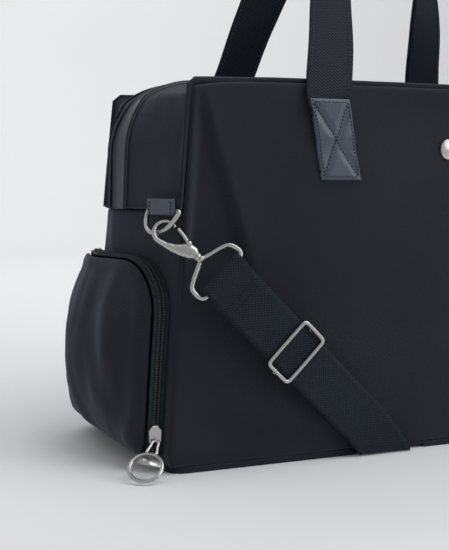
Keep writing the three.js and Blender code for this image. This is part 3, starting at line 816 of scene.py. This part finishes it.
def pocket_spot(u, v):
    """Maps the square to the pocket's rounded outline; ring is 0 in the middle and 1 on the edge."""
    p, q = 2 * u - 1, 2 * v - 1
    ring = np.maximum(np.maximum(np.abs(p), np.abs(q)), 1e-6)
    corner = np.where(q > 0, POCKET_CORNER, POCKET_FOOT)
    rise = (POCKET_HIGH - POCKET_LOW) / 2
    y, z = POCKET_HALF * p / ring, rise * q / ring
    dy, dz = np.abs(y) - POCKET_HALF + corner, np.abs(z) - rise + corner
    both = (dy > 0) & (dz > 0)
    pull = np.where(both, np.maximum(dy, dz) / np.maximum(np.hypot(dy, dz), 1e-9), 1.0)
    ey = np.where(both, POCKET_HALF - corner + dy * pull, np.abs(y))
    ez = np.where(both, rise - corner + dz * pull, np.abs(z))
    return ring, np.sign(p) * ey * ring, (POCKET_HIGH + POCKET_LOW) / 2 + np.sign(q) * ez * ring


def pocket_edge(t):
    """Outline of the pocket from foot to foot over the top, t from 0 to 1."""
    straight = POCKET_HIGH - POCKET_CORNER - POCKET_LOW
    arc = POCKET_CORNER * math.pi / 2
    flat = 2 * (POCKET_HALF - POCKET_CORNER)
    total = 2 * (straight + arc) + flat
    s = np.asarray(t, float) * total
    s = np.where(s > total / 2, total - s, s)
    angle = np.clip((s - straight) / POCKET_CORNER, 0, math.pi / 2)
    y = -POCKET_HALF + POCKET_CORNER * (1 - np.cos(angle)) + np.clip(s - straight - arc, 0, flat / 2)
    z = POCKET_LOW + np.clip(s, 0, straight) + POCKET_CORNER * np.sin(angle)
    return np.where(np.asarray(t) > 0.5, -y, y), z


def add_pocket(end, flip):
    seed = 31 if end == "left" else 41

    def dome(u, v):
        ring, y, z = pocket_spot(1 - u, v)
        swell = POCKET_DOME * np.maximum(1 - ring**2.2, 0) ** 0.62
        spots = stack(y, 0.2, z * 0.45)
        inside = 1 - fade(ring, 0.80, 1.0)
        folds = 0.0058 * ripple(spots, 0.034, seed) * inside + 0.0020 * ripple(spots, 0.017, seed + 4) * inside
        slump = 0.006 * inside * (0.5 - (z - POCKET_LOW) / (POCKET_HIGH - POCKET_LOW))
        return stack(end_x(y, z) - POCKET_WALL - swell - folds - slump - 0.0004, y, z)

    flap = sheet(f"pocket_face_{end}", side_surface(dome, flip), 110, 110, POCKET_THICK, TWILL,
                 body=f"pocket_flap_{end}", roll=0.0045, pack=0.7)
    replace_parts(flap, f"pocket_flap_{end}")

    def wall(first, last, swing=0.0):
        def surface(u, v):
            y, z = pocket_edge(u)
            middle = (POCKET_HIGH + POCKET_LOW) / 2
            off = lerp(first, last, v)
            shrink = 1 - swing * np.sin(math.pi * v)
            return stack(end_x(y, z) - off, y * shrink, middle + (z - middle) * shrink)
        return side_surface(surface, flip)

    outer = sheet(f"pocket_tape_outer_{end}", wall(0.0126, 0.0071), 240, 6, POCKET_TAPE_THICK, TAPE,
                  body=f"pocket_flap_{end}")
    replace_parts(outer, f"pocket_zip_flap_{end}")
    inner = sheet(f"pocket_tape_inner_{end}", wall(0.0063, 0.0006), 240, 6, POCKET_TAPE_THICK, TAPE)
    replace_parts(inner, f"pocket_zip_body_{end}")

    t = np.linspace(0.004, 0.996, 1100)
    y, z = pocket_edge(t)
    middle = (POCKET_HIGH + POCKET_LOW) / 2
    for part, off, body in (("outer", 0.0083, f"pocket_flap_{end}"), ("inner", 0.0052, "root")):
        path = turned(stack(end_x(y, z) - off, y * COIL_OUT, middle + (z - middle) * COIL_OUT), flip)
        reach = distances(path)
        teeth = 0.00165 + 0.00045 * np.sin(2 * math.pi * reach / 0.0019)
        tube(f"pocket_coil_{part}_{end}", path, 0.0016, COIL, body=body, sides=8, radii=teeth)
    t = np.linspace(0.01, 0.99, 400)
    y, z = pocket_edge(t)
    for part, off, body in (("outer", 0.0112, f"pocket_flap_{end}"), ("inner", 0.0022, "root")):
        path = stack(end_x(y, z) - off, y * SEAM_OUT, middle + (z - middle) * SEAM_OUT)
        normals = unit(stack(0.0, y, z - middle))
        path, normals = turned(path, flip), turned(normals, flip)
        stitches(f"pocket_seam_{part}_{end}", path, normals, 0.0032, 0.0023, 0.0003, THREAD, body=body)

    def floor(u, v):
        y = (POCKET_HALF - 0.006) * (1 - 2 * u)
        return stack(end_x(y, 0.0115) - 0.0012 - (POCKET_WALL - 0.0020) * v, y, 0.0102 + 0 * v)

    foot = sheet(f"pocket_foot_{end}", side_surface(floor, flip), 40, 6, FLOOR_THICK, TWILL)
    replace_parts(foot, f"pocket_floor_{end}")


copies(add_pocket)


# ---------------------------------------------------------------- handles


def handle_line(seed):
    half = [(HANDLE_X, 0), (0.100, 0.040), (0.091, 0.080), (0.075, 0.128), (0.043, 0.173)]
    def place(x, h):
        return np.array([x, -0.1006 + HANDLE_LEAN * max(h - 0.008, 0), PATCH_HIGH + 0.0025 + h])
    def under(sign, z):
        x = sign * (HANDLE_X - PATCH_SLANT * (PATCH_HIGH - z) / (PATCH_HIGH - PATCH_LOW))
        return front_skin(x, z, seed, 0.0011)
    left = [under(-1, 0.258), under(-1, 0.268), *(place(-x, h) for x, h in half)]
    right = [*(place(x, h) for x, h in reversed(half)), under(1, 0.268), under(1, 0.258)]
    return smooth_path([*left, place(0, HANDLE_RISE), *right], 280)


def add_handle(side, flip):
    line = handle_line(FRONT_SEEDS[side])
    tangents = unit(np.gradient(line, axis=0))
    across = np.array([0.0, 1.0, -HANDLE_LEAN])
    across /= np.linalg.norm(across)
    seed = 51 if side == "front" else 57
    count = len(line)

    def surface(u, v):
        k = u * (count - 1)
        centre = sampled(k, np.arange(count), line)
        tangent = unit(sampled(k, np.arange(count), tangents))
        turn = math.pi / 2 * np.sin(math.pi * u) ** 4
        flat = unit(-np.cross(tangent, across))
        wide = flat * np.cos(turn)[..., None] + across * np.sin(turn)[..., None]
        cup = np.cross(tangent, wide)
        q = 2 * v - 1
        curl = 0.0016 * np.sin(math.pi * u) ** 2 * (1 - q**2)
        wave = 0.0014 * np.sin(math.pi * u) * ripple(stack(u * 0.55, q * 0.02, 0.0), 0.06, seed)
        reach = WEBBING / 2 - 0.0045 * (1 - smooth(np.minimum(u, 1 - u) / 0.045))
        return centre + wide * (q * reach)[..., None] + cup * (curl + wave)[..., None]

    strap = sheet(f"handle_web_{side}", side_surface(surface, flip), 260, 14, HANDLE_THICK, WEB, body=None,
                  roll=0.0009, pack=0.2, centred=True)
    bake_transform(strap)
    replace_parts(strap, f"handle_{side}")

    for name, v_at in (("low", 0.085), ("high", 0.915)):
        u = np.linspace(0.03, 0.97, 400)
        v = np.full_like(u, v_at)
        for face, direction in (("a", 1.0), ("b", -1.0)):
            path = surface(u, v)
            normals = direction * normals_of(surface, u, v, 1e-4)
            path = path + normals * 0.00095
            path, normals = turned(path, flip), turned(normals, flip)
            row = stitches(f"handle_seam_{name}_{face}_{side}", path, normals, 0.0036, 0.0026, 0.0003, THREAD,
                           body=None)
            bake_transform(row)


add_handle("front", False)
add_handle("back", True)


# ---------------------------------------------------------------- shoulder strap

BAR_X, BAR_RISE = -0.2035, 0.2495
SLOPE = math.radians(44)
STANDS_OFF, UNDER, FOLD_START, FOLD_RADIUS = 0.0826, 0.0011, 0.099, 0.0066
SLIDER_ALONG = 0.085


def folded_spot(x, q, out):
    """A spot on the folded sheet the strap lies on: q runs from mid-base up the front."""
    reach = np.abs(q)
    angle = np.clip((reach - FOLD_START) / FOLD_RADIUS, 0, math.pi / 2)
    climb = np.maximum(reach - FOLD_START - FOLD_RADIUS * math.pi / 2, 0)
    spread = FOLD_RADIUS + out
    depth = np.minimum(reach, FOLD_START) + spread * np.sin(angle) + climb * STANDS_OFF
    return stack(x, -np.sign(q) * depth, UNDER + FOLD_RADIUS - spread * np.cos(angle) + climb)


def strap_path():
    run = np.array([math.cos(SLOPE), -math.sin(SLOPE), 0.0])
    bar = np.array([BAR_X, BAR_RISE, 0.0])
    front = [bar + run * d for d in np.arange(0, 0.181, 0.03)]
    under = np.array([-0.036, 0.073, 0.0])
    back = [-p for p in reversed([*front, under])]
    return smooth_path([*front, under, np.zeros(3), *back], 1200)


STRAP = strap_path()
STRAP_REACH = distances(STRAP)
STRAP_LENGTH = float(STRAP_REACH[-1])
STRAP_RUN = unit(np.gradient(STRAP, axis=0))


def strap_spot(d, across, out):
    d = np.asarray(d, float)
    at = np.clip(d, 0, STRAP_LENGTH)
    spot = sampled(at, STRAP_REACH, STRAP[:, :2])
    run = unit(sampled(at, STRAP_REACH, STRAP_RUN[:, :2]))
    x = spot[..., 0] + run[..., 0] * (d - at) - run[..., 1] * across
    y = spot[..., 1] + run[..., 1] * (d - at) + run[..., 0] * across
    return folded_spot(x, y, out)


def strap_route():
    """Distance along and height of the webbing, with its turned-back ends round the two bars."""
    def end(under):
        points = [(d, -0.0021, 0.0) for d in under]
        points += [(0.002, -0.004, 0), (-0.003, -0.0024, 0), (-0.0043, 0, 0), (-0.003, 0.0024, 0),
                   (0.002, 0.004, 0), (0.008, 0.0023, 0), (0.017, 0.0006, 0)]
        return points + [(d, 0.0, 0.0) for d in np.arange(0.030, STRAP_LENGTH / 2 - 0.020, 0.030)]
    last = [(STRAP_LENGTH - x, y, z) for x, y, z in reversed(end([0.034, 0.020, 0.010]))]
    return smooth_path([*end([0.072, 0.050, 0.024, 0.010]), *last], 700)


def add_strap():
    route = strap_route()
    steps = np.arange(len(route))

    def surface(u, v):
        k = u * (len(route) - 1)
        along, out = np.interp(k, steps, route[:, 0]), np.interp(k, steps, route[:, 1])
        return strap_spot(along, (0.5 - v) * WEBBING, out)

    strap = sheet("strap", surface, 640, 10, STRAP_THICK, WEB, roll=0.0006, pack=0.0, centred=True)
    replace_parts(strap, "strap_webbing")
    middle = surface(np.linspace(0, 1, 2000), 0.5 + np.zeros(2000))

    t = np.linspace(-0.44, 0.44, 40)
    rows = []
    for k, d in enumerate((0.0205, 0.0265, STRAP_LENGTH - 0.0205, STRAP_LENGTH - 0.0265)):
        path = strap_spot(d + 0 * t, t * WEBBING, 0.0007 + 0.0003)
        normals = unit(strap_spot(d + 0 * t, t * WEBBING, 0.002) - strap_spot(d + 0 * t, t * WEBBING, 0.0))
        rows.append(stitches(f"strap_tack_{k}", path, normals, 0.003, 0.0022, 0.00034, LEATHER_THREAD))
    joined("strap_tacks", rows)


add_strap()

# ---------------------------------------------------------------- hardware and inside

END_ALONG = unit(np.array([0.316, -0.949, 0.0]))
END_OUT = unit(np.array([-0.949, -0.316, 0.0]))
UP = np.array([0.0, 0.0, 1.0])
RING_BAR = np.array([-0.234, -0.077, 0.194])
RING_RADIUS, RING_WIRE = 0.018, 0.00185
RING_TILT = math.radians(28)
RING_DOWN = END_OUT * math.sin(RING_TILT) - UP * math.cos(RING_TILT)
TAB_HALF, TAB_FOLD, TAB_LEG = 0.0155, 0.0038, 0.0095


def ring_point(angle):
    return RING_BAR + END_ALONG * RING_RADIUS * math.sin(angle) + RING_DOWN * RING_RADIUS * math.cos(angle)


BAR_CENTRE = strap_spot(0.0, 0.0, 0.0)
STRAP_WAY = unit(strap_spot(0.1, 0.0, 0.0) - BAR_CENTRE)
STRAP_WIDE = unit(strap_spot(0.0, 0.001, 0.0) - BAR_CENTRE)
STRAP_OUT = unit(strap_spot(0.0, 0.0, 0.001) - BAR_CENTRE)
HOOK_START = ring_point(0.165 * math.pi)
HOOK_REACH = float(np.linalg.norm(BAR_CENTRE - HOOK_START))
HOOK_X = (BAR_CENTRE - HOOK_START) / HOOK_REACH
HOOK_Y = unit(STRAP_WIDE - HOOK_X * STRAP_WIDE.dot(HOOK_X))
HOOK_Z = np.cross(HOOK_X, HOOK_Y)


def placer(origin, x_way, y_way, z_way, flip):
    """Makes a function that turns local points in millimetres into the bag's frame."""
    def place(points):
        points = np.atleast_2d(np.asarray(points, float)) * MM
        spots = origin + points[:, :1] * x_way + points[:, 1:2] * y_way + points[:, 2:3] * z_way
        return turned(spots, flip)
    return place


def bevelled(obj, width, segments=3):
    modifier = obj.modifiers.new("rounded", "BEVEL")
    modifier.width, modifier.segments = width, segments
    modifier.limit_method, modifier.angle_limit = "ANGLE", math.radians(35)


def plate(name, outline, depth, place, body, bevel=0.0004):
    """A flat plate from a 2-D outline in millimetres."""
    outline = [tuple(p) for p in outline]
    count = len(outline)
    points = np.concatenate([place([(x, y, z) for x, y in outline]) for z in (depth / 2, -depth / 2)])
    faces = [tuple(range(count)), tuple(reversed(range(count, 2 * count)))]
    faces += [(k, count + k, count + (k + 1) % count, (k + 1) % count) for k in range(count)]
    obj = make_object(name, points, faces, NICKEL, None, body)
    bevelled(obj, bevel, 2)
    return obj


def arc(cx, cy, radius, start, stop, count):
    """Points of an arc, with angles in half turns."""
    angles = np.linspace(start, stop, count) * math.pi
    return [(cx + radius * math.cos(a), cy + radius * math.sin(a)) for a in angles]


def add_hardware(end, flip):
    def tab(u, v):
        leg, bend = TAB_LEG, math.pi * TAB_FOLD
        s = u * (2 * leg + bend)
        angle = np.clip((s - leg) / TAB_FOLD, 0, math.pi)
        rise = np.where(s < leg, leg - s, np.where(s > leg + bend, s - leg - bend, 0.0))
        x, z = TAB_FOLD * np.cos(angle), rise - TAB_FOLD * np.sin(angle)
        wide = np.cross(UP, END_OUT)
        spread = (2 * v - 1) * TAB_HALF
        return RING_BAR + x[..., None] * END_OUT + z[..., None] * UP + spread[..., None] * wide

    leather = sheet(f"ring_leather_{end}", side_surface(tab, flip), 60, 24, TAB_THICK, LEATHER,
                    roll=0.0010, pack=0.5)
    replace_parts(leather, f"ring_tab_{end}")
    rows = []
    for k, v_at in enumerate((0.09, 0.91)):
        u = np.linspace(0.02, 0.98, 80)
        v = np.full_like(u, v_at)
        surface = side_surface(tab, flip)
        normals = normals_of(surface, u, v)
        rows.append(stitches(f"tab_row_{k}_{end}", surface(u, v) + normals * 0.0001, normals,
                             0.0026, 0.0019, 0.0003, LEATHER_THREAD))
    joined(f"tab_stitching_{end}", rows)

    ring = [ring_point(k * math.pi / 12) for k in range(-6, 7)]
    ring += [RING_BAR + END_ALONG * k * RING_RADIUS for k in (0.75, 0.35, -0.35, -0.75)]
    ring = turned(smooth_path(ring, 120, looped=True), flip)
    wire = tube(f"ring_wire_{end}", ring, RING_WIRE, NICKEL, body=f"d_ring_{end}", sides=18, looped=True)
    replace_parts(wire, f"d_ring_{end}")

    place = placer(HOOK_START, HOOK_X, HOOK_Y, HOOK_Z, flip)
    face = turned(HOOK_Z, flip)
    centre = arc(1.8, 0, 8.2, 0.36, 1.5, 14)
    centre += [(8.6, -7.2), (14.5, -5.6), (19.5, -3.2), (23.5, -0.7), (28, 0.2), (31, 0.2)]
    knots = np.array([0, 7, 13, 14, 15, 16, 17, 18, 19])
    steps = np.linspace(0, 19, 160)
    fat = np.interp(steps, knots, [1.3, 1.45, 1.9, 2.4, 3.5, 4.8, 5.7, 5.1, 3.3])
    thin = np.interp(steps, knots, [1.35, 1.35, 1.25, 1.05, 0.80, 0.62, 0.52, 0.56, 0.75])
    path = np.pad(sampled(steps, np.arange(20), np.array(centre)), ((0, 0), (0, 1)))
    body = tube(f"hook_body_{end}", place(path), 0.002, NICKEL, body=f"snap_hook_{end}", sides=24,
                radii=fat * MM, flatten=thin, up=face)
    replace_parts(body, f"snap_hook_{end}")

    gate_path = [(21.5, 3.4, 0), (17.5, 5.2, 0), (12.5, 6.8, 0), (7.6, 7.9, 0)]
    gate = tube(f"gate_bar_{end}", smooth_path(place(gate_path), 40), 0.0013, NICKEL,
                body=f"hook_gate_{end}", sides=16,
                radii=np.interp(np.linspace(0, 1, 40), [0, 0.2, 1], [0.0019, 0.00135, 0.00115]))
    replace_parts(gate, f"hook_gate_{end}")

    rivet_line = place([(21.5, 3.6, z) for z in (-3.3, -2.9, 2.9, 3.3)])
    rivet = tube(f"gate_rivet_{end}", rivet_line, 0.0016, NICKEL, body=f"snap_hook_{end}", sides=20,
                 radii=[0.0015, 0.0022, 0.0022, 0.0015])
    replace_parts(rivet, f"gate_pin_{end}")

    collar_x = np.array([31.2, 31.9, 32.8, 33.6, 34.1, 34.6, 35.6, 36.6, 37.6])
    collar_r = np.array([2.3, 3.3, 3.5, 3.1, 2.6, 3.3, 3.8, 3.5, 2.2]) * MM
    collar_line = place(np.stack([collar_x, 0 * collar_x, 0 * collar_x], axis=1))
    collar = tube(f"swivel_collar_{end}", collar_line, 0.003, NICKEL, sides=24, radii=collar_r)
    far = HOOK_REACH / MM
    arm = [(38.5, 8), (41.5, 16), (44.5, 21), (far - 3, 22.6), (far, 20.6), (far, 7)]
    bend = [(36, 0, 0)] + [(x, y, 0) for x, y in arm] + [(x, -y, 0) for x, y in reversed(arm)]
    loop = tube(f"swivel_wire_{end}", smooth_path(place(bend), 200, looped=True), 0.0018, NICKEL,
                sides=16, looped=True)
    swivel = joined(f"swivel_{end}", [collar, loop])
    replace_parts(swivel, f"swivel_loop_{end}")

    drop, level = unit(np.array([-16.0, -24.5, -25.2])), unit(np.array([0.837, -0.547, 0.0]))
    sway = math.radians(9)
    hang = drop * math.cos(sway) - level * math.sin(sway)
    wide = level * math.cos(sway) + drop * math.sin(sway)
    place = placer(np.array([-0.246, -0.0932, 0.0268]), wide, -hang, np.cross(wide, -hang), flip)
    face = turned(np.cross(wide, -hang), flip)
    body_name = f"pocket_puller_{end}"
    circle = place([(x, y, 0) for x, y in arc(0, -25, 12.0, 0.0, 1.98, 100)])
    rim = tube(f"puller_rim_{end}", circle, 0.0015, NICKEL, body=body_name, sides=14, looped=True,
               flatten=0.66, up=face)
    moon = plate(f"puller_moon_{end}", arc(0, -25, 11.4, 0.06, 0.94, 40), 1.3, place, body_name)
    eye = [(-1.9, -1.6, 0), (1.9, -1.6, 0), (2.7, -6, 0), (3.5, -12.6, 0), (0, -13.4, 0), (-3.5, -12.6, 0),
           (-2.7, -6, 0)]
    link_path = smooth_path(place(eye), 80, looped=True)
    link = tube(f"puller_link_{end}", link_path, 0.00115, NICKEL, body=body_name, sides=12, looped=True)
    puller = joined(f"puller_{end}", [rim, moon, link])
    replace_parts(puller, f"pocket_puller_{end}")


copies(add_hardware)


def add_strap_slider():
    normal = np.cross(STRAP_WAY, STRAP_WIDE)
    outward = float(np.sign(normal.dot(STRAP_OUT)))
    place = placer(strap_spot(SLIDER_ALONG, 0.0, 0.0), STRAP_WAY, STRAP_WIDE, normal, False)
    lift, long, wide, bend = outward * 2.8, 11.5, 21.4, 3.0
    corners = []
    for sx, sy in ((1, 1), (-1, 1), (-1, -1), (1, -1)):
        angles = np.linspace(0, math.pi / 2, 6)
        for angle in angles if sx * sy > 0 else angles[::-1]:
            corners.append((sx * (long - bend + bend * math.cos(angle)),
                            sy * (wide - bend + bend * math.sin(angle)), lift))
    rail = tube("slider_rail", smooth_path(place(corners), 160, looped=True), 0.0016, NICKEL,
                body="strap_slider", sides=14, looped=True, up=normal, flatten=0.8)
    bar_line = place([(0, y, -lift) for y in np.linspace(-wide - 1.4, wide + 1.4, 20)])
    parts = [rail, tube("slider_bar", bar_line, 0.0015, NICKEL, body="strap_slider", sides=14)]
    for side in (-1, 1):
        post = place([(0, side * wide, z) for z in np.linspace(-lift, lift, 6)])
        parts.append(tube(f"slider_post_{side + 1}", post, 0.0014, NICKEL, body="strap_slider", sides=14))
    slider = joined("web_slider", parts)
    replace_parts(slider, "strap_slider")


add_strap_slider()


def add_badge():
    y = float(front_skin(np.array(0.0), np.array(0.242), FRONT_SEEDS["front"])[1])
    place = placer(np.array([0.0, y - 0.0012, 0.242]), np.array([1.0, 0, 0]), UP, np.array([0, -1.0, 0]), False)
    oval = [(7.2 * math.cos(a), 8.0 * math.sin(a)) for a in np.linspace(0, 2 * math.pi, 64, endpoint=False)]
    disc = plate("badge_disc", oval, 1.4, place, "root", bevel=0.0003)
    rim_line = place([(x * 0.90, y * 0.90, 0.75) for x, y in oval])
    rim = tube("badge_rim", rim_line, 0.00045, NICKEL, sides=10, looped=True)
    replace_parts(joined("badge", [disc, rim]), "front_badge")


add_badge()

CARRIED = {
    "main_slider": NICKEL, "main_puller": NICKEL, "pocket_slider": NICKEL,
    "base_panel": TWILL, "base_board": BOARD, "lining": LINING,
}
for obj in frame["nodes"].values():
    for prefix, material in CARRIED.items():
        if obj.name.startswith(prefix):
            obj.data.materials.clear()
            obj.data.materials.append(material)
            if material is NICKEL:
                bevelled(obj, 0.0004)

# ---------------------------------------------------------------- studio

def flat_material(name, colour, roughness):
    return Nodes(name, colour, roughness).material


def make_stage():
    width, depth, lift, bend = 5.0, 3.2, 3.0, 0.8
    profile = [(-3.0, 0.0), (depth - bend, 0.0)]
    profile += [(depth - bend + bend * math.sin(a), bend - bend * math.cos(a))
                for a in np.linspace(0.1, math.pi / 2, 12)]
    profile.append((depth, lift))
    points = [(x, y, z) for y, z in profile for x in (-width, width)]
    faces = [(2 * k, 2 * k + 1, 2 * k + 3, 2 * k + 2) for k in range(len(profile) - 1)]
    mesh = bpy.data.meshes.new("backdrop")
    mesh.from_pydata(points, [], faces)
    mesh.polygons.foreach_set("use_smooth", [True] * len(mesh.polygons))
    mesh.materials.append(flat_material("backdrop_paper", (0.83, 0.83, 0.83), 0.9))
    sweep = bpy.data.objects.new("backdrop", mesh)
    bpy.context.scene.collection.objects.link(sweep)


make_stage()


def area_light(name, spot, target, size, power, colour=(1, 1, 1)):
    data = bpy.data.lights.new(name, "AREA")
    data.shape = "RECTANGLE"
    data.size, data.size_y = size
    data.energy = power
    data.color = colour
    lamp = bpy.data.objects.new(name, data)
    lamp.location = spot
    lamp.rotation_euler = (Vector(target) - Vector(spot)).to_track_quat("-Z", "Y").to_euler()
    bpy.context.scene.collection.objects.link(lamp)


area_light("overhead", (0.5, -0.6, 1.9), (0, 0, 0.15), (1.6, 1.4), 15)
area_light("left_soft", (-1.6, -0.9, 0.9), (0, 0, 0.15), (1.0, 1.4), 0.8)
area_light("right_soft", (1.3, -1.5, 1.0), (0.1, 0, 0.15), (1.0, 1.4), 12)
area_light("backdrop_wash", (0, 1.3, 2.4), (0, 3.0, 0.6), (4.0, 0.8), 34)

world = bpy.data.worlds.new("studio")
world.use_nodes = True
world.node_tree.nodes["Background"].inputs["Color"].default_value = (0.93, 0.95, 1.0, 1.0)
world.node_tree.nodes["Background"].inputs["Strength"].default_value = 0.50
bpy.context.scene.world = world
bpy.context.scene.view_settings.view_transform = "Standard"
